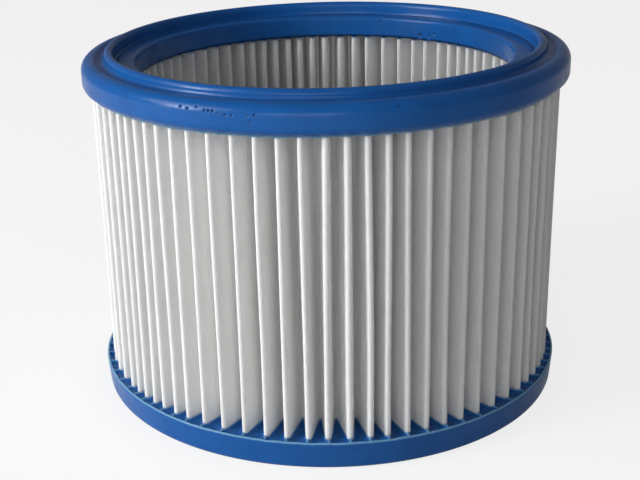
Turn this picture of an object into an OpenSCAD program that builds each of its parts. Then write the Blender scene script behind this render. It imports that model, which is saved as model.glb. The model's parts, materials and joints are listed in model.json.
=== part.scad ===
// Round pleated cartridge filter for a wet and dry vacuum cleaner.
// A band of white polyester fleece is folded into radial pleats and closed
// into a ring. Its two ends are cast into blue polyurethane end rings.
// The top ring carries the raised lip that seals against the machine.
// Millimetres, +Z along the cartridge's axis, standing on the bottom ring.

/* [Cartridge] */
// Diameter across the top ring, the widest part
top_ring_d = 185; // [160:1:240]
// Height from the bottom face to the top of the sealing lip
total_h = 135; // [60:1:240]
// How far the top ring stands out past the pleat tips
top_overhang = 3.2; // [2.5:0.1:8]
// How far the bottom ring's rim stands out past the pleat tips
bottom_overhang = 2.7; // [1.2:0.1:8]
// Depth of a pleat, from its outer tip to its inner fold
pleat_depth = 15.8; // [14:0.2:30]
// Clearance between the inner folds and the bore wall of the rings
fold_clearance = 1.5; // [1:0.1:4]

/* [Pleated fleece] */
// Number of pleats around the cartridge
pleat_count = 76; // [40:1:90]
// Thickness of the fleece
fleece_t = 0.65; // [0.4:0.05:0.9]
// Bend radius of each fold, at the middle of the fleece
fold_r = 0.75; // [0.6:0.05:0.9]
// Straight pieces that round each fold
fold_steps = 4; // [2:1:8]

/* [Top ring] */
// Height of the ring's outer wall, from underside to shoulder
top_ring_h = 10.6; // [9:0.2:16]
// Rounding between the shoulder and the outer wall
shoulder_r = 4; // [1:0.25:4.5]
// Rounding under the outer wall
overhang_r = 2.5; // [0.5:0.25:2.75]
// Rounding of the bore's upper edge
bore_edge_r = 1.2; // [0.4:0.1:2]
// Fleece covered by the top ring, measured up from its underside
top_cast_depth = 5.8; // [3:0.2:6.4]

/* [Sealing lip] */
// Distance from the ring's outer wall in to the lip
lip_inset = 8.9; // [7.9:0.1:11]
// Width of the lip, whose top is a half round
lip_w = 3.4; // [2:0.1:4.5]
// Height of the lip above the shoulder
lip_rise = 2.7; // [1.8:0.1:5]
// Depth of the inner ledge below the shoulder
ledge_drop = 2.1; // [1:0.1:3]
// Width of the groove around the lip's outer foot
outer_groove_w = 3.8; // [2:0.1:4]
// Depth of that groove below the shoulder
outer_groove_depth = 1.3; // [0.5:0.1:1.8]
// Radius of the narrow groove at the lip's inner foot
inner_groove_r = 0.6; // [0.3:0.05:0.9]

/* [Bottom ring] */
// Height of the bottom ring's outer wall
bottom_ring_h = 11; // [8:0.2:16]
// How far the outer wall draws in from its rim to its base
wall_draft = 0.7; // [0.2:0.1:1.5]
// Rounding of the outer and bore edges of the base
base_edge_r = 2; // [0.5:0.25:2.5]
// Thickness of polyurethane under the fleece
base_cover = 2.8; // [2.2:0.2:6]

/* [Cast edges] */
// Width of the thin rims that rise where the casting wets its mould
rim_w = 0.9; // [0.5:0.05:1]
// Height of those rims beyond the face that the fleece comes out of
rim_h = 1.2; // [0.5:0.1:2]
// Width of the web that climbs from the outer rim to each pleat tip
web_w = 1.2; // [0.6:0.1:1.5]

/* [Hidden] */
$fn = 96;
eps = 0.01;
poly_blue = [0.07, 0.25, 0.52];
fleece_white = [0.87, 0.88, 0.88];

// Radii, from the outside in
top_ring_r = top_ring_d / 2;
tip_r = top_ring_r - top_overhang;
rim_r = tip_r + bottom_overhang;
foot_r = rim_r - wall_draft;
lip_out_r = top_ring_r - lip_inset;
lip_in_r = lip_out_r - lip_w;
valley_r = tip_r - pleat_depth;
bore_r = valley_r - fold_clearance;

// Heights of the top ring's faces, from the lip down
shoulder_z = total_h - lip_rise;
ledge_z = shoulder_z - ledge_drop;
underside_z = shoulder_z - top_ring_h;
fleece_top_z = underside_z + top_cast_depth;

// Face of the bottom ring that the fleece comes out of
floor_z = bottom_ring_h - rim_h;

// Centres of the bend at a tip and at the next inner fold, with the tip on the X axis
half_pitch = 180 / pleat_count;
tip_bend = [tip_r - fleece_t / 2 - fold_r, 0];
valley_bend = (valley_r + fleece_t / 2 + fold_r) * [cos(half_pitch), sin(half_pitch)];

// Direction of the flank's normal, from the line that touches both bends
bend_line = valley_bend - tip_bend;
flank_normal = atan2(bend_line[1], bend_line[0]) - acos(2 * fold_r / norm(bend_line));

function turned(p, a) = [p[0] * cos(a) - p[1] * sin(a), p[0] * sin(a) + p[1] * cos(a)];

function arc(centre, r, from, to) =
    [for (k = [0:fold_steps]) let (a = from + (to - from) * k / fold_steps)
        centre + r * [cos(a), sin(a)]];

// One face of the fleece over one pleat: round the tip, down the flank, round the inner fold
function pleat_face(tip_side_r, valley_side_r) = concat(
    arc(tip_bend, tip_side_r, -flank_normal, flank_normal),
    arc(valley_bend, valley_side_r, flank_normal + 180, 2 * half_pitch + 180 - flank_normal));

function folded_outline(tip_side_r, valley_side_r) =
    [for (i = [0:pleat_count - 1], p = pleat_face(tip_side_r, valley_side_r))
        turned(p, 2 * half_pitch * i)];

module folded_band() {
    outer = folded_outline(fold_r + fleece_t / 2, fold_r - fleece_t / 2);
    inner = folded_outline(fold_r - fleece_t / 2, fold_r + fleece_t / 2);
    count = len(outer);
    polygon(concat(outer, inner), [[for (i = [0:count - 1]) i], [for (i = [0:count - 1]) count + i]]);
}

module fleece_body() {
    translate([0, 0, base_cover])
        linear_extrude(fleece_top_z - base_cover)
            folded_band();
}

// Rectangle between two radii and two heights of a ring's section
module block(r0, r1, z0, z1) {
    translate([r0, z0])
        square([r1 - r0, z1 - z0]);
}

// What a rounding of radius r takes off a square corner at p, which points along sx and sy
module square_corner(p, r, sx, sy) {
    difference() {
        translate([p[0] + (sx > 0 ? -r : -eps), p[1] + (sy > 0 ? -r : -eps)])
            square(r + eps);
        translate([p[0] - sx * r, p[1] - sy * r])
            circle(r);
    }
}

// What rounds the bottom ring's outer foot, where the drafted wall meets the base
module drafted_corner() {
    lean = atan(wall_draft / bottom_ring_h);
    centre = [foot_r - base_edge_r * (1 - sin(lean)) / cos(lean), base_edge_r];
    difference() {
        polygon([[centre[0], -eps], [foot_r + eps, -eps], [foot_r + eps, 0],
            centre + base_edge_r * [cos(lean), -sin(lean)] + [eps, 0], centre]);
        translate(centre)
            circle(base_edge_r);
    }
}

// The groove around the lip's outer foot is part of a circle below the shoulder
module outer_groove() {
    sagitta_r = (pow(outer_groove_w / 2, 2) + pow(outer_groove_depth, 2)) / (2 * outer_groove_depth);
    intersection() {
        translate([lip_out_r + outer_groove_w / 2, shoulder_z - outer_groove_depth + sagitta_r])
            circle(sagitta_r);
        block(lip_out_r, lip_out_r + outer_groove_w, shoulder_z - outer_groove_depth - eps, shoulder_z + eps);
    }
}

module lip_section() {
    block(lip_in_r, lip_out_r, ledge_z - inner_groove_r, total_h - lip_w / 2);
    translate([lip_out_r - lip_w / 2, total_h - lip_w / 2])
        circle(lip_w / 2);
}

module top_ring_section() {
    difference() {
        block(bore_r, top_ring_r, underside_z, shoulder_z);
        block(bore_r - eps, lip_in_r, ledge_z, shoulder_z + eps);
        translate([lip_in_r - inner_groove_r, ledge_z])
            circle(inner_groove_r);
        outer_groove();
        square_corner([top_ring_r, shoulder_z], shoulder_r, 1, 1);
        square_corner([top_ring_r, underside_z], overhang_r, 1, -1);
        square_corner([bore_r, ledge_z], bore_edge_r, -1, 1);
    }
    lip_section();
    block(bore_r, bore_r + rim_w, underside_z - rim_h, underside_z + eps);
}

module bottom_ring_section() {
    difference() {
        union() {
            polygon([[bore_r, 0], [foot_r, 0], [rim_r, bottom_ring_h], [rim_r - rim_w, bottom_ring_h],
                [rim_r - rim_w, floor_z], [bore_r, floor_z]]);
            block(bore_r, bore_r + rim_w, floor_z - eps, bottom_ring_h);
        }
        drafted_corner();
        square_corner([bore_r, 0], base_edge_r, -1, -1);
    }
}

// Webs from the outer rim to the pleat tips, where the casting climbed the fleece
module tip_webs() {
    web_start = tip_r - fleece_t / 2;
    for (i = [0:pleat_count - 1])
        rotate([0, 0, 2 * half_pitch * i])
            translate([web_start, -web_w / 2, floor_z - rim_h])
                cube([rim_r - rim_w / 2 - web_start, web_w, 2 * rim_h]);
}

module pleated_fleece() {
    color(fleece_white)
        fleece_body();
}

module top_ring() {
    color(poly_blue)
        difference() {
            rotate_extrude()
                top_ring_section();
            fleece_body();
        }
}

module bottom_ring() {
    color(poly_blue)
        difference() {
            union() {
                rotate_extrude()
                    bottom_ring_section();
                tip_webs();
            }
            fleece_body();
        }
}

pleated_fleece();
top_ring();
bottom_ring();
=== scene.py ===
# Round pleated cartridge filter for a wet and dry vacuum cleaner.
# White polyester fleece is folded into radial pleats, and its ends are cast into blue polyurethane rings.
import json
import math
import random

import bmesh
import bpy
import numpy as np
from mathutils import Matrix, Vector, noise


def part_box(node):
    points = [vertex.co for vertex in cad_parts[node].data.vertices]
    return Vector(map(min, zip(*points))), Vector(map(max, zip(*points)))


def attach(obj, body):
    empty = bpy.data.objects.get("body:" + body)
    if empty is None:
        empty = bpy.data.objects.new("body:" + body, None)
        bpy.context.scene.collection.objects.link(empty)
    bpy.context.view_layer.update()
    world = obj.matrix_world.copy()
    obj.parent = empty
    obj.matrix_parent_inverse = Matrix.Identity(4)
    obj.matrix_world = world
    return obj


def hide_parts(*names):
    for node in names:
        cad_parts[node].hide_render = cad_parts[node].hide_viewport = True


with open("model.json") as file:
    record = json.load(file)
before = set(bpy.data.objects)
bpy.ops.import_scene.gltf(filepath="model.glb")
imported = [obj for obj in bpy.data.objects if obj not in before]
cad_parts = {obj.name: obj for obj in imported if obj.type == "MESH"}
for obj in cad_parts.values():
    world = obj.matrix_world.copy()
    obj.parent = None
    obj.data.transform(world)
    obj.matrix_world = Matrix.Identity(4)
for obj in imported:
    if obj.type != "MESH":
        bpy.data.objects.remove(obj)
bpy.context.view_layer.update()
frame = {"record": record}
scene = bpy.context.scene
scene.view_settings.view_transform = "Standard"
mm = 0.001


# Camera
# The picture looks down into the ring from the front, from a little above the cartridge.
image_w = 640
image_h = 480
picture_centre_x = 261.0
picture_centre_y = 269.3
focal_px = 1210.0
sensor_w = 36.0
camera_place = (0.0, -462.8 * mm, 225.7 * mm)
camera_down = math.radians(21.82)
camera_turn = math.radians(3.34)
camera_roll = math.radians(-2.15)

camera_data = bpy.data.cameras.new("camera")
camera_data.sensor_width = sensor_w
camera_data.lens = focal_px / image_w * sensor_w
camera_data.shift_x = (image_w / 2 - picture_centre_x) / image_w
camera_data.shift_y = (picture_centre_y - image_h / 2) / image_w
camera_data.clip_start = 10 * mm
camera = bpy.data.objects.new("camera", camera_data)
scene.collection.objects.link(camera)
camera.matrix_world = (
    Matrix.Translation(camera_place)
    @ Matrix.Rotation(camera_turn, 4, "Z")
    @ Matrix.Rotation(math.pi / 2 - camera_down, 4, "X")
    @ Matrix.Rotation(camera_roll, 4, "Z")
)
scene.camera = camera


# Pleated fleece
# One band of white spunbonded polyester, scored and folded into 76 straight pleats and closed into a ring.
# The folds were pushed together by hand before casting, so their spacing drifts a little round the ring.
pleat_count = 76
fleece_t = 0.65 * mm
fold_r = 0.75 * mm
fold_clearance = 1.5 * mm
fleece_low, fleece_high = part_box("pleated_fleece")
mounts = {mount["name"]: mount for mount in frame["record"]["mounts"]}
bore_r = mounts["top_bore"]["dims"]["r_mm"] * mm
tip_r = fleece_high.x
valley_r = bore_r + fold_clearance
fleece_z0 = fleece_low.z
fleece_z1 = fleece_high.z

# Drift of the tips from even spacing: waves round the ring, size and phase in degrees
spacing_drift = ((3, 1.0, -54), (6, 1.5, 98), (8, 0.43, -113), (16, 0.18, 2))
spacing_offset = -0.2
# How far single folds stray from their place, in degrees round the axis
valley_stray = 0.22
tip_lean = 0.12
tip_bow = 0.14
valley_bow = 0.12
tip_depth_stray = 0.25 * mm
flank_wave = 0.2 * mm

dice = random.Random(76)
turn = 2 * math.pi * np.arange(pleat_count) / pleat_count
tip_angle = np.degrees(turn) + spacing_offset
for waves, size, phase in spacing_drift:
    tip_angle = tip_angle + size * np.sin(waves * turn + math.radians(phase))
valley_angle = (tip_angle + np.append(tip_angle[1:], tip_angle[0] + 360)) / 2
valley_angle = valley_angle + np.array([dice.gauss(0, valley_stray) for _ in turn])
lean = np.array([dice.gauss(0, tip_lean) for _ in range(2 * pleat_count)])
bow = np.array([dice.gauss(0, tip_bow) for _ in range(2 * pleat_count)])
bow[1::2] *= valley_bow / tip_bow
second_bow = np.array([dice.gauss(0, tip_bow / 3) for _ in range(2 * pleat_count)])
inset = np.array([abs(dice.gauss(0, tip_depth_stray)) for _ in range(2 * pleat_count)])


def fold_centres(height):
    """Centres of all bends at a height from 0 at the band's lower edge to 1 at its upper edge, tips first."""
    free = math.sin(math.pi * height)
    angle = np.empty(2 * pleat_count)
    angle[0::2] = tip_angle
    angle[1::2] = valley_angle
    angle = angle + lean * (2 * height - 1) + free * bow + math.sin(2 * math.pi * height) * second_bow
    radius = np.empty(2 * pleat_count)
    radius[0::2] = tip_r - fleece_t / 2 - fold_r
    radius[1::2] = valley_r + fleece_t / 2 + fold_r
    radius[0::2] -= free * inset[0::2]
    radius[1::2] += free * inset[1::2]
    turned = np.radians(angle)
    return np.stack([radius * np.sin(turned), -radius * np.cos(turned)], axis=1)


def turned_by(vectors, angles):
    """Plane vectors turned counterclockwise by an angle each."""
    c, s = np.cos(angles), np.sin(angles)
    return np.stack([vectors[:, 0] * c - vectors[:, 1] * s, vectors[:, 0] * s + vectors[:, 1] * c], axis=1)


def fold_line(centres, bend_steps, flank_steps):
    """Middle line of the folded band: points, outward normals and how far along its flank each point is."""
    side = np.where(np.arange(len(centres)) % 2 == 0, 1.0, -1.0)
    across = np.roll(centres, -1, axis=0) - centres
    gap = np.linalg.norm(across, axis=1)
    leave = turned_by(across / gap[:, None], -side * np.arccos(2 * fold_r / gap))
    arrive = -np.roll(leave, 1, axis=0)
    start = np.arctan2(arrive[:, 1], arrive[:, 0])
    sweep = np.arctan2(leave[:, 1], leave[:, 0]) - start
    sweep = np.where(side > 0, sweep % (2 * math.pi), -((-sweep) % (2 * math.pi)))
    flank_start = centres + fold_r * leave
    flank_end = np.roll(centres, -1, axis=0) - fold_r * leave
    points, normals, along = [], [], []
    for step in range(bend_steps + 1):
        angle = start + sweep * step / bend_steps
        out = np.stack([np.cos(angle), np.sin(angle)], axis=1)
        points.append(centres + fold_r * out)
        normals.append(side[:, None] * out)
        along.append(np.zeros(len(centres)))
    for step in range(1, flank_steps):
        share = step / flank_steps
        points.append(flank_start * (1 - share) + flank_end * share)
        normals.append(side[:, None] * leave)
        along.append(np.full(len(centres), share))
    shape = (len(centres) * len(points), 2)
    return (np.stack(points, 1).reshape(shape), np.stack(normals, 1).reshape(shape),
            np.stack(along, 1).ravel())


def new_mesh_object(name, points, faces, body="root"):
    """A smooth mesh object that rides on a body."""
    mesh = bpy.data.meshes.new(name)
    mesh.from_pydata(points, [], faces)
    mesh.polygons.foreach_set("use_smooth", [True] * len(mesh.polygons))
    mesh.update()
    piece = bpy.data.objects.new(name, mesh)
    scene.collection.objects.link(piece)
    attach(piece, body)
    return piece


def fleece_band(rows=31, bend_steps=4, flank_steps=5):
    """The folded band as a closed shell, with its developed length and height in metres as a UV map."""
    outer, inner = [], []
    for row in range(rows):
        height = row / (rows - 1)
        z = fleece_z0 + (fleece_z1 - fleece_z0) * height
        points, normals, along = fold_line(fold_centres(height), bend_steps, flank_steps)
        column = np.arange(len(points)) // (bend_steps + flank_steps)
        free = math.sin(math.pi * height)
        swell = np.array([noise.noise((0.37 * c, 2.6 * height, 4.1)) for c in column])
        points = points + normals * (flank_wave * free * np.sin(math.pi * along) * swell)[:, None]
        level = np.full((len(points), 1), z)
        outer.append(np.hstack([points + normals * fleece_t / 2, level]))
        inner.append(np.hstack([points - normals * fleece_t / 2, level]))
        if row == rows // 2:
            step_length = np.linalg.norm(np.roll(points, -1, axis=0) - points, axis=1)
    count = len(outer[0])
    run = np.concatenate([[0], np.cumsum(step_length)])
    faces, flat = [], []

    def wall(first, outward):
        for row in range(rows - 1):
            low = fleece_z0 + (fleece_z1 - fleece_z0) * row / (rows - 1)
            high = fleece_z0 + (fleece_z1 - fleece_z0) * (row + 1) / (rows - 1)
            for i in range(count):
                j = (i + 1) % count
                a, b = first + row * count + i, first + row * count + j
                corners = [(a, (run[i], low)), (b, (run[i + 1], low)),
                           (b + count, (run[i + 1], high)), (a + count, (run[i], high))]
                corners = corners if outward else corners[::-1]
                faces.append([corner[0] for corner in corners])
                flat.extend(corner[1] for corner in corners)

    def edge(row, upward):
        z = fleece_z0 + (fleece_z1 - fleece_z0) * row / (rows - 1)
        for i in range(count):
            j = (i + 1) % count
            out_i, out_j = row * count + i, row * count + j
            corners = [(out_i, (run[i], z)), (out_j, (run[i + 1], z)),
                       (out_j + rows * count, (run[i + 1], z)), (out_i + rows * count, (run[i], z))]
            corners = corners if upward else corners[::-1]
            faces.append([corner[0] for corner in corners])
            flat.extend(corner[1] for corner in corners)

    wall(0, True)
    wall(rows * count, False)
    edge(rows - 1, True)
    edge(0, False)
    piece = new_mesh_object("fleece_band", np.vstack(outer + inner).tolist(), faces)
    cloth = piece.data.uv_layers.new(name="cloth")
    cloth.data.foreach_set("uv", np.array(flat).ravel())
    return piece


def new_material(name):
    """A node material: its nodes, a function that links two sockets, and its main shader."""
    material = bpy.data.materials.new(name)
    material.use_nodes = True
    nodes = material.node_tree.nodes
    return material, nodes, material.node_tree.links.new, nodes["Principled BSDF"]


def new_group(name, inputs, outputs):
    """An empty shader node group with named sockets, and its input and output nodes."""
    group = bpy.data.node_groups.new(name, "ShaderNodeTree")
    for label, kind, value in inputs:
        socket = group.interface.new_socket(label, in_out="INPUT", socket_type=kind)
        if value is not None:
            socket.default_value = value
    for label, kind in outputs:
        group.interface.new_socket(label, in_out="OUTPUT", socket_type=kind)
    return group, group.nodes.new("NodeGroupInput"), group.nodes.new("NodeGroupOutput")


def math_node(tree, operation, *values):
    """A Math node whose inputs are numbers or other nodes' outputs."""
    node = tree.nodes.new("ShaderNodeMath")
    node.operation = operation
    for socket, value in zip(node.inputs, values):
        if isinstance(value, (int, float)):
            socket.default_value = value
        else:
            tree.links.new(value, socket)
    return node.outputs[0]


def noise_node(tree, vector, scale, detail=2.0, roughness=0.5):
    """A Noise Texture of a scale, as its plain value."""
    node = tree.nodes.new("ShaderNodeTexNoise")
    node.inputs["Detail"].default_value = detail
    node.inputs["Roughness"].default_value = roughness
    tree.links.new(vector, node.inputs["Vector"])
    if isinstance(scale, (int, float)):
        node.inputs["Scale"].default_value = scale
    else:
        tree.links.new(scale, node.inputs["Scale"])
    return node.outputs["Fac"]


def range_node(tree, value, from_low, from_high, to_low=0.0, to_high=1.0, smooth=True):
    """A Map Range node between plain numbers."""
    node = tree.nodes.new("ShaderNodeMapRange")
    node.interpolation_type = "SMOOTHSTEP" if smooth else "LINEAR"
    tree.links.new(value, node.inputs["Value"])
    for label, number in (("From Min", from_low), ("From Max", from_high),
                          ("To Min", to_low), ("To Max", to_high)):
        node.inputs[label].default_value = number
    return node.outputs["Result"]


def mix_node(tree, share, first, second):
    """A colour mix of two colours or outputs."""
    node = tree.nodes.new("ShaderNodeMix")
    node.data_type = "RGBA"
    for socket, value in ((node.inputs["Factor"], share), (node.inputs["A"], first),
                          (node.inputs["B"], second)):
        if isinstance(value, bpy.types.NodeSocket):
            tree.links.new(value, socket)
        else:
            socket.default_value = value
    return node.outputs["Result"]


def mottle_group():
    """Soft cloudy patches and fine grain, for cloth and casting alike: a height and a mask from 0 to 1."""
    group, given, result = new_group(
        "mottle",
        [("Vector", "NodeSocketVector", None), ("Patch Scale", "NodeSocketFloat", 60.0),
         ("Grain Scale", "NodeSocketFloat", 2500.0), ("Grain Share", "NodeSocketFloat", 0.4)],
        [("Mask", "NodeSocketFloat"), ("Height", "NodeSocketFloat")])
    patches = noise_node(group, given.outputs["Vector"], given.outputs["Patch Scale"], detail=3.0)
    grain = noise_node(group, given.outputs["Vector"], given.outputs["Grain Scale"],
                       detail=2.0, roughness=0.6)
    group.links.new(range_node(group, patches, 0.3, 0.7), result.inputs["Mask"])
    fine = math_node(group, "MULTIPLY", grain, given.outputs["Grain Share"])
    group.links.new(math_node(group, "ADD", patches, fine), result.inputs["Height"])
    return group


def bond_group():
    """The staggered dots where a heated roller fused the fleece's fibres: 1 inside a dot, 0 outside."""
    group, given, result = new_group(
        "bond_dots",
        [("Vector", "NodeSocketVector", None), ("Dots Per Metre", "NodeSocketFloat", 560.0),
         ("Dot Size", "NodeSocketFloat", 0.24)],
        [("Mask", "NodeSocketFloat")])
    grid = group.nodes.new("ShaderNodeVectorMath")
    grid.operation = "SCALE"
    group.links.new(given.outputs["Vector"], grid.inputs[0])
    group.links.new(given.outputs["Dots Per Metre"], grid.inputs["Scale"])
    nearest = None
    for shift in (0.0, 0.5):
        moved = group.nodes.new("ShaderNodeVectorMath")
        moved.operation = "ADD"
        moved.inputs[1].default_value = (shift, shift, 0.0)
        cell = group.nodes.new("ShaderNodeVectorMath")
        cell.operation = "FRACTION"
        centred = group.nodes.new("ShaderNodeVectorMath")
        centred.operation = "SUBTRACT"
        centred.inputs[1].default_value = (0.5, 0.5, 0.0)
        flat = group.nodes.new("ShaderNodeVectorMath")
        flat.operation = "MULTIPLY"
        flat.inputs[1].default_value = (1.0, 1.0, 0.0)
        distance = group.nodes.new("ShaderNodeVectorMath")
        distance.operation = "LENGTH"
        group.links.new(grid.outputs["Vector"], moved.inputs[0])
        group.links.new(moved.outputs["Vector"], cell.inputs[0])
        group.links.new(cell.outputs["Vector"], centred.inputs[0])
        group.links.new(centred.outputs["Vector"], flat.inputs[0])
        group.links.new(flat.outputs["Vector"], distance.inputs[0])
        value = distance.outputs["Value"]
        nearest = value if nearest is None else math_node(group, "MINIMUM", nearest, value)
    edge = math_node(group, "SUBTRACT", given.outputs["Dot Size"], nearest)
    group.links.new(range_node(group, edge, -0.08, 0.08), result.inputs["Mask"])
    return group


def place_group(tree, group, vector, **values):
    """A node group placed in a material, with its own values."""
    node = tree.nodes.new("ShaderNodeGroup")
    node.node_tree = group
    tree.links.new(vector, node.inputs["Vector"])
    for label, value in values.items():
        node.inputs[label.replace("_", " ").title()].default_value = value
    return node


fleece_white = (0.93, 0.93, 0.915, 1)
fleece_shade = (0.88, 0.88, 0.865, 1)
wicked_blue = (0.30, 0.47, 0.72, 1)
mottle = mottle_group()
bond_dots = bond_group()


def fleece_material(low_face, high_face):
    """Matt white fleece with bonded dots, loose fibres, and resin wicked up where the rings were cast."""
    material, nodes, link, shader = new_material("white_fleece")
    tree = material.node_tree
    cloth = nodes.new("ShaderNodeUVMap")
    cloth.uv_map = "cloth"
    place = nodes.new("ShaderNodeTexCoord").outputs["Object"]
    dots = place_group(tree, bond_dots, cloth.outputs["UV"], dots_per_metre=560.0, dot_size=0.24)
    cloud = place_group(tree, mottle, place, patch_scale=90.0, grain_scale=3800.0, grain_share=0.5)
    colour = mix_node(tree, math_node(tree, "MULTIPLY", cloud.outputs["Mask"], 0.35),
                      fleece_white, fleece_shade)
    colour = mix_node(tree, math_node(tree, "MULTIPLY", dots.outputs["Mask"], 0.25), colour, fleece_shade)
    height = nodes.new("ShaderNodeSeparateXYZ")
    link(place, height.inputs[0])
    ragged = math_node(tree, "MULTIPLY", noise_node(tree, place, 420.0), 1.6 * mm)
    from_low = math_node(tree, "SUBTRACT", math_node(tree, "SUBTRACT", height.outputs["Z"], low_face), ragged)
    from_high = math_node(tree, "SUBTRACT", math_node(tree, "SUBTRACT", high_face, height.outputs["Z"]),
                          ragged)
    wicked = range_node(tree, math_node(tree, "MINIMUM", from_low, from_high), 0.0, 1.2 * mm, 1.0, 0.0)
    colour = mix_node(tree, math_node(tree, "MULTIPLY", wicked, 0.85), colour, wicked_blue)
    link(colour, shader.inputs["Base Color"])
    fibres = math_node(tree, "SUBTRACT", cloud.outputs["Height"],
                       math_node(tree, "MULTIPLY", dots.outputs["Mask"], 0.8))
    bump = nodes.new("ShaderNodeBump")
    bump.inputs["Strength"].default_value = 0.5
    bump.inputs["Distance"].default_value = 0.12 * mm
    link(fibres, bump.inputs["Height"])
    link(bump.outputs["Normal"], shader.inputs["Normal"])
    shader.inputs["Roughness"].default_value = 0.9
    shader.inputs["Specular IOR Level"].default_value = 0.2
    shader.inputs["Sheen Weight"].default_value = 0.1
    shader.inputs["Sheen Roughness"].default_value = 0.6
    shader.inputs["Subsurface Weight"].default_value = 1.0
    shader.inputs["Subsurface Radius"].default_value = (1.0, 1.0, 1.0)
    shader.inputs["Subsurface Scale"].default_value = 3.5 * mm
    return material


# Top ring
# One casting in blue polyurethane: the fleece's upper end stands in it, and its raised lip seals the machine.
# The mould was the ring's top side, so trapped air left small pits on the shoulder and in the bore wall.
top_low, top_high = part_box("top_ring")
top_ring_r = top_high.x
lip_top_z = top_high.z
shoulder_z = lip_top_z - 2.7 * mm
ledge_z = shoulder_z - 2.1 * mm
underside_z = shoulder_z - 10.6 * mm
shoulder_r = 4.0 * mm
overhang_r = 2.5 * mm
bore_edge_r = 1.2 * mm
lip_out_r = top_ring_r - 8.9 * mm
lip_w = 3.4 * mm
lip_in_r = lip_out_r - lip_w
outer_groove_w = 3.8 * mm
outer_groove_depth = 1.3 * mm
inner_groove_r = 0.6 * mm
rim_w = 0.9 * mm
rim_h = top_low.z - underside_z
point_gap = 0.45 * mm


def arc(centre_r, centre_z, radius, start, end, thin=0.0):
    """Section points (radius, height, thinness, which also carries a painted highlight) along an arc, its
    angles in degrees from outward.
    """
    steps = max(3, math.ceil(abs(math.radians(end - start)) * radius / point_gap))
    angles = [math.radians(start + (end - start) * k / steps) for k in range(steps + 1)]
    return [(centre_r + radius * math.cos(a), centre_z + radius * math.sin(a), thin) for a in angles]


def straight(r0, z0, r1, z1, gap=1.2 * mm):
    """Section points strictly between two places."""
    steps = max(2, math.ceil(math.hypot(r1 - r0, z1 - z0) / gap))
    return [(r0 + (r1 - r0) * k / steps, z0 + (z1 - z0) * k / steps, 0.0) for k in range(1, steps)]


def top_outline():
    """Section of the top ring from its outer flash's foot, up over the lip, to its bore flash's foot."""
    corner = top_ring_r - shoulder_r
    wall_foot = underside_z + overhang_r
    points = [(tip_r + 0.25 * mm, underside_z, 0.3), (tip_r + 0.35 * mm, underside_z - 0.75 * mm, 1.0),
              (tip_r + 0.65 * mm, underside_z - 0.8 * mm, 1.0),
              (tip_r + 1.0 * mm, underside_z - 0.1 * mm, 0.5)]
    points += arc(top_ring_r - overhang_r, wall_foot, overhang_r, -76, 0)
    points += straight(top_ring_r, wall_foot, top_ring_r, shoulder_z - shoulder_r)
    points += arc(corner, shoulder_z - shoulder_r, shoulder_r, 0, 90)
    groove_out = lip_out_r + outer_groove_w
    points += [(groove_out + 0.3 * mm, shoulder_z, 0.0)]
    half = outer_groove_w / 2
    bend = (half ** 2 + outer_groove_depth ** 2) / (2 * outer_groove_depth)
    spread = math.degrees(math.asin(half / bend))
    groove_z = shoulder_z - outer_groove_depth + bend
    points += arc(lip_out_r + half, groove_z, bend, -90 + spread - 4, -90 - spread + 6)
    points += straight(lip_out_r, shoulder_z, lip_out_r, lip_top_z - lip_w / 2, 0.5 * mm)
    points += arc(lip_out_r - lip_w / 2, lip_top_z - lip_w / 2, lip_w / 2, 0, 180)
    points += straight(lip_in_r, lip_top_z - lip_w / 2, lip_in_r, ledge_z)
    points += arc(lip_in_r - inner_groove_r, ledge_z, inner_groove_r, -8, -172)
    ledge_r = lip_in_r - 2 * inner_groove_r
    points += straight(ledge_r, ledge_z, bore_r + bore_edge_r, ledge_z)
    points += arc(bore_r + bore_edge_r, ledge_z - bore_edge_r, bore_edge_r, 90, 180)
    points += straight(bore_r, ledge_z - bore_edge_r, bore_r, underside_z)
    points += [(bore_r, underside_z, 0.3), (bore_r + 0.1 * mm, underside_z - rim_h * 0.75, 0.9),
               (bore_r + 0.4 * mm, underside_z - rim_h * 0.75, 1.0), (bore_r + rim_w, underside_z, 0.3)]
    return points


def nearest_on_line(points, line):
    """Distance in the plane from each point to a closed line."""
    best = np.full(len(points), 1.0)
    ends = np.roll(line, -1, axis=0)
    for a, b in zip(line, ends):
        near = np.abs(points - a).max(axis=1) < 6 * mm
        if not near.any():
            continue
        run = b - a
        share = np.clip(((points[near] - a) @ run) / (run @ run), 0, 1)
        distance = np.linalg.norm(points[near] - a - share[:, None] * run, axis=1)
        best[near] = np.minimum(best[near], distance)
    return best


def edge_wander(x, y, seed):
    """Uneven run of a cast edge round the ring, about -1 to 1."""
    return noise.noise((160 * x, 160 * y, seed)) + 0.6 * noise.noise((480 * x, 480 * y, seed + 3.0))


climb_h = 1.0 * mm
climb_reach = 0.55 * mm
web_reach = 0.75 * mm


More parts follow.
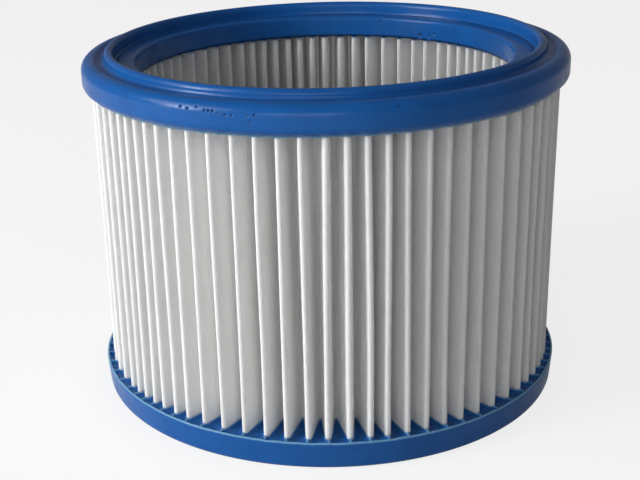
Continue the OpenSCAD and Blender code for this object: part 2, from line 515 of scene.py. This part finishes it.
def cast_ring(name, outline, height, face_z, way, bend_steps, flank_steps, web_h, wander):
    """A cast ring as one closed skin: its turned outline, and the face where the fleece stands in it.
    The face climbs the fleece, and webs join the outer flash to the pleat tips."""
    line, _, _ = fold_line(fold_centres(height), bend_steps, flank_steps)
    angle = np.arctan2(line[:, 1], line[:, 0])
    line_r = np.hypot(line[:, 0], line[:, 1])
    in_foot, out_foot = outline[-1][0], outline[0][0]
    shares_in = np.array([0.0, 0.2, 0.45, 0.7, 0.88])[1:]
    shares_out = np.array([0.0, 0.12, 0.3, 0.5, 0.68, 0.84, 0.94])
    columns = len(line)
    face_r = np.hstack([
        in_foot + (line_r[:, None] - in_foot) * shares_in[None, :],
        line_r[:, None] + (out_foot - line_r[:, None]) * shares_out[None, :]])
    x = face_r * np.cos(angle)[:, None]
    y = face_r * np.sin(angle)[:, None]
    gap = nearest_on_line(np.stack([x.ravel(), y.ravel()], 1), line).reshape(face_r.shape) - fleece_t / 2
    climb = climb_h * np.exp(-np.maximum(gap, 0) / climb_reach)
    to_tip = np.degrees(angle) + 90
    off = np.abs((to_tip[:, None] - tip_angle[None, :] + 180) % 360 - 180).min(axis=1)
    web = web_h * np.exp(-(np.radians(off) * tip_r / web_reach) ** 2)
    beyond = np.clip((face_r - (tip_r - 2 * mm)) / (2 * mm), 0, 1)
    climb = np.maximum(climb, web[:, None] * beyond)
    points, thin = [], []
    section = np.array(outline)
    for i in range(columns):
        c, s = math.cos(angle[i]), math.sin(angle[i])
        out_wander = edge_wander(c * tip_r, s * tip_r, height) * wander
        in_wander = edge_wander(c * bore_r, s * bore_r, height + 7) * wander
        for r, z, share in section:
            run = out_wander if r > tip_r - 5 * mm else in_wander
            points.append((r * c, r * s, z + way * share * run))
            thin.append(share)
        for j in range(face_r.shape[1]):
            points.append((x[i, j], y[i, j], face_z + way * climb[i, j]))
            thin.append(min(1.0, climb[i, j] / climb_h) * 0.8)
    per = len(section) + face_r.shape[1]
    faces = []
    for i in range(columns):
        a, b = i * per, ((i + 1) % columns) * per
        for j in range(per):
            k = (j + 1) % per
            faces.append((a + j, b + j, b + k, a + k) if way < 0 else (a + j, a + k, b + k, b + j))
    piece = new_mesh_object(name, points, faces)
    # The thinness mark also paints a highlight on the cast edges and the rim top.
    layer = piece.data.attributes.new("thin", "FLOAT", "POINT")
    layer.data.foreach_set("value", thin)
    return piece


poly_blue = (0.008, 0.094, 0.335, 1)
poly_deep = (0.006, 0.074, 0.275, 1)
# Partly real and partly painted highlight: paler blue where thin resin lies on white fleece, and a painted
# highlight along the flash edges and the bottom ring's rim top.
poly_thin = (0.16, 0.35, 0.55, 1)
# Painted shade: a dark blue laid into the pits, standing in for the shade that falls in them.
pit_shade_blue = (0.004, 0.03, 0.12, 1)


def polyurethane_material():
    """Satin cast polyurethane: cloudy blue; paler where it is thin, partly real and partly a painted
    highlight on the cast edges; darker in its pits as painted shade.
    """
    material, nodes, link, shader = new_material("blue_polyurethane")
    tree = material.node_tree
    place = nodes.new("ShaderNodeTexCoord").outputs["Object"]
    cloud = place_group(tree, mottle, place, patch_scale=70.0, grain_scale=1500.0, grain_share=0.12)
    thin = nodes.new("ShaderNodeAttribute")
    thin.attribute_name = "thin"
    pit_shade = nodes.new("ShaderNodeAttribute")
    pit_shade.attribute_name = "pit_shade"
    colour = mix_node(tree, math_node(tree, "MULTIPLY", cloud.outputs["Mask"], 0.6), poly_blue, poly_deep)
    # Paler where the resin is thin, partly real and partly a painted highlight on the cast edges.
    colour = mix_node(tree, range_node(tree, thin.outputs["Fac"], 0.35, 1.0), colour, poly_thin)
    # Painted shade in the pits: the pit mark darkens the colour.
    colour = mix_node(tree, math_node(tree, "MULTIPLY", pit_shade.outputs["Fac"], 0.8), colour, pit_shade_blue)
    link(colour, shader.inputs["Base Color"])
    link(range_node(tree, cloud.outputs["Mask"], 0.0, 1.0, 0.20, 0.30), shader.inputs["Roughness"])
    bump = nodes.new("ShaderNodeBump")
    bump.inputs["Strength"].default_value = 0.35
    bump.inputs["Distance"].default_value = 0.25 * mm
    link(cloud.outputs["Height"], bump.inputs["Height"])
    link(bump.outputs["Normal"], shader.inputs["Normal"])
    shader.inputs["Specular IOR Level"].default_value = 0.2
    return material


polyurethane = polyurethane_material()
top_ring = cast_ring("top_ring_casting", top_outline(), 1.0, underside_z, -1, 2, 3, 0.0, 0.3 * mm)
top_ring.data.materials.append(polyurethane)
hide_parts("top_ring")

# Pits from air bubbles: angle from the front in degrees, height, and size
pits = (
    (-39.0, 129.0, 0.4), (-30.2, 129.7, 0.6), (-29.0, 129.3, 0.6), (-26.5, 130.0, 0.5), (-24.6, 129.3, 0.55),
    (-23.7, 129.3, 0.55), (-22.8, 129.3, 0.55), (-21.5, 128.6, 0.35),
    (-20.2, 128.0, 0.5), (-18.5, 128.0, 0.4),
    (-15.2, 127.8, 0.4), (-14.0, 128.6, 0.5), (-14.8, 126.4, 0.4), (15.0, 130.6, 0.4),
)
bore_pits = ((144.7, 123.8, 0.8), (141.1, 124.1, 0.6), (139.0, 124.4, 0.65),
             (159.7, 127.6, 0.5), (121.0, 126.5, 0.4))


def press_pits(piece, places, near_r, depth_share=0.7):
    """Sinks small round pits into a ring's skin near a radius, on a locally finer mesh, and marks them for
    painted shade.
    """
    shape = bmesh.new()
    shape.from_mesh(piece.data)
    pit_shade_mark = shape.verts.layers.float.get("pit_shade") or shape.verts.layers.float.new("pit_shade")
    for angle, z, size in places:
        a = math.radians(angle)
        size = size * mm
        centre = Vector((near_r * math.sin(a), -near_r * math.cos(a), z * mm))
        nearest = min(shape.verts, key=lambda v: (v.co - centre).length)
        centre = nearest.co.copy()
        inward = -nearest.normal.copy()
        edges = {e for v in shape.verts if (v.co - centre).length < size + 0.7 * mm for e in v.link_edges}
        bmesh.ops.subdivide_edges(shape, edges=list(edges), cuts=3, use_grid_fill=True)
        for v in shape.verts:
            away = (v.co - centre).length / size
            if away < 1:
                fall = (1 - away ** 2) ** 0.7
                v.co += inward * size * depth_share * fall
                # This mark later darkens the colour as painted shade, deepest at the pit's bottom.
                v[pit_shade_mark] = max(v[pit_shade_mark], min(1.0, 1.4 * fall))
    shape.to_mesh(piece.data)
    shape.free()
    piece.data.update()


press_pits(top_ring, pits, top_ring_r)
press_pits(top_ring, bore_pits, bore_r)


# Bottom ring
# The second casting, poured round the fleece's lower end after the band was turned over.
# Resin crept up its mould's wall as an uneven thin rim, and climbed each pleat tip in a small web.
bottom_low, bottom_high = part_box("bottom_ring")
bottom_rim_r = bottom_high.x
bottom_rim_z = bottom_high.z
wall_draft = 0.7 * mm
base_edge_r = 2.0 * mm
floor_z = bottom_rim_z - 1.2 * mm


def bottom_outline():
    """Section of the bottom ring from its bore rim's foot, round the base, to its outer rim's foot."""
    foot_r = bottom_rim_r - wall_draft
    lean = math.degrees(math.atan(wall_draft / bottom_rim_z))
    rim_in = bottom_rim_r - rim_w
    # The rim top is marked as thin resin: partly a painted highlight where the rim catches light.
    points = [(rim_in, floor_z, 0.0), (rim_in + 0.05 * mm, floor_z + 0.8 * mm, 0.8),
              (rim_in + 0.3 * mm, bottom_rim_z - 0.3 * mm, 1.0),
              (bottom_rim_r - 0.3 * mm, bottom_rim_z - 0.3 * mm, 1.0),
              (bottom_rim_r - 0.03 * mm, bottom_rim_z - 0.6 * mm, 0.7),
              (bottom_rim_r - 0.1 * mm, bottom_rim_z - 1.6 * mm, 0.0)]
    points += straight(bottom_rim_r - 0.1 * mm, bottom_rim_z - 1.6 * mm, foot_r, base_edge_r)
    points += arc(foot_r - base_edge_r, base_edge_r, base_edge_r, -lean, -90)
    points += straight(foot_r - base_edge_r, 0.0, bore_r + base_edge_r, 0.0, 2 * mm)
    points += arc(bore_r + base_edge_r, base_edge_r, base_edge_r, -90, -180)
    points += straight(bore_r, base_edge_r, bore_r, bottom_rim_z - 1.2 * mm)
    points += [(bore_r, bottom_rim_z - 1.2 * mm, 0.0), (bore_r + 0.05 * mm, bottom_rim_z - 0.5 * mm, 0.9),
               (bore_r + 0.45 * mm, bottom_rim_z - 0.35 * mm, 1.0), (bore_r + rim_w, floor_z, 0.0)]
    return points


bottom_ring = cast_ring(
    "bottom_ring_casting", bottom_outline(), 0.0, floor_z, 1, 4, 3, 1.1 * mm, 0.28 * mm)
bottom_ring.data.materials.append(polyurethane)
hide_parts("bottom_ring")

# The band itself comes last of the three, because its finish takes the height of both cast faces
fleece = fleece_band()
fleece.data.materials.append(fleece_material(floor_z, underside_z))
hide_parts("pleated_fleece")


# Floor and light
# A pale tabletop, a large window low on the left, and soft light from that side of the room.
floor_size = 6.0


def backdrop_material(name, bounce, glow, glow_in_gloss):
    """A pale surface, white to the camera with the object's shadow on it, that throws back less light."""
    material, nodes, link, shader = new_material(name)
    tree = material.node_tree
    shader.inputs["Base Color"].default_value = (bounce, bounce, bounce, 1)
    shader.inputs["Roughness"].default_value = 0.9
    shader.inputs["Specular IOR Level"].default_value = 0.0
    ray = nodes.new("ShaderNodeLightPath")
    seen = math_node(tree, "MAXIMUM", ray.outputs["Is Camera Ray"],
                     math_node(tree, "MAXIMUM", ray.outputs["Is Glossy Ray"],
                               ray.outputs["Is Transmission Ray"]))
    white = nodes.new("ShaderNodeEmission")
    white.inputs["Color"].default_value = (1, 1, 1, 1)
    white.inputs["Strength"].default_value = 1.0
    shaded = nodes.new("ShaderNodeBsdfDiffuse")
    shaded.inputs["Color"].default_value = (0.95, 0.95, 0.95, 1)
    face = nodes.new("ShaderNodeMixShader")
    link(range_node(tree, ray.outputs["Is Camera Ray"], 0.0, 1.0, glow_in_gloss, glow, smooth=False),
         face.inputs["Fac"])
    link(shaded.outputs[0], face.inputs[1])
    link(white.outputs[0], face.inputs[2])
    mixed = nodes.new("ShaderNodeMixShader")
    link(seen, mixed.inputs["Fac"])
    link(shader.outputs[0], mixed.inputs[1])
    link(face.outputs[0], mixed.inputs[2])
    link(mixed.outputs[0], nodes["Material Output"].inputs["Surface"])
    return material


floor_mesh = bpy.data.meshes.new("floor")
floor_mesh.from_pydata([(-floor_size, -floor_size, 0), (floor_size, -floor_size, 0),
                        (floor_size, floor_size, 0), (-floor_size, floor_size, 0)], [], [(0, 1, 2, 3)])
floor = bpy.data.objects.new("floor", floor_mesh)
scene.collection.objects.link(floor)
floor_mesh.materials.append(backdrop_material("pale_floor", 0.5, 0.8, 0.15))


def soft_lamp(name, turn_deg, rise_deg, distance, width, height, power):
    """A rectangular lamp that faces the cartridge from an angle round it and a height above it."""
    data = bpy.data.lights.new(name, "AREA")
    data.shape = "RECTANGLE"
    data.size = width
    data.size_y = height
    data.energy = power
    lamp = bpy.data.objects.new(name, data)
    scene.collection.objects.link(lamp)
    turn_by, rise = math.radians(turn_deg), math.radians(rise_deg)
    aim = Vector((0, 0, 0.07))
    out = Vector((math.sin(turn_by) * math.cos(rise), -math.cos(turn_by) * math.cos(rise), math.sin(rise)))
    lamp.location = aim + out * distance
    lamp.rotation_euler = out.to_track_quat("Z", "Y").to_euler()


soft_lamp("window", -64, 12, 1.4, 0.36, 0.44, 10.5)
soft_lamp("window_sky", -66, 28, 1.4, 1.0, 0.5, 8.5)
soft_lamp("front_room", -10, 10, 1.4, 0.9, 0.5, 4.2)

world = bpy.data.worlds.new("room")
world.use_nodes = True
world_nodes = world.node_tree.nodes
room_light = world_nodes["Background"]
room_light.inputs["Color"].default_value = (1, 1, 1, 1)
world_ray = world_nodes.new("ShaderNodeLightPath")
world_seen = math_node(world.node_tree, "MAXIMUM", world_ray.outputs["Is Camera Ray"],
                       world_ray.outputs["Is Transmission Ray"])
world.node_tree.links.new(range_node(world.node_tree, world_seen, 0.0, 1.0, 0.2, 1.0, smooth=False),
                          room_light.inputs["Strength"])
scene.world = world
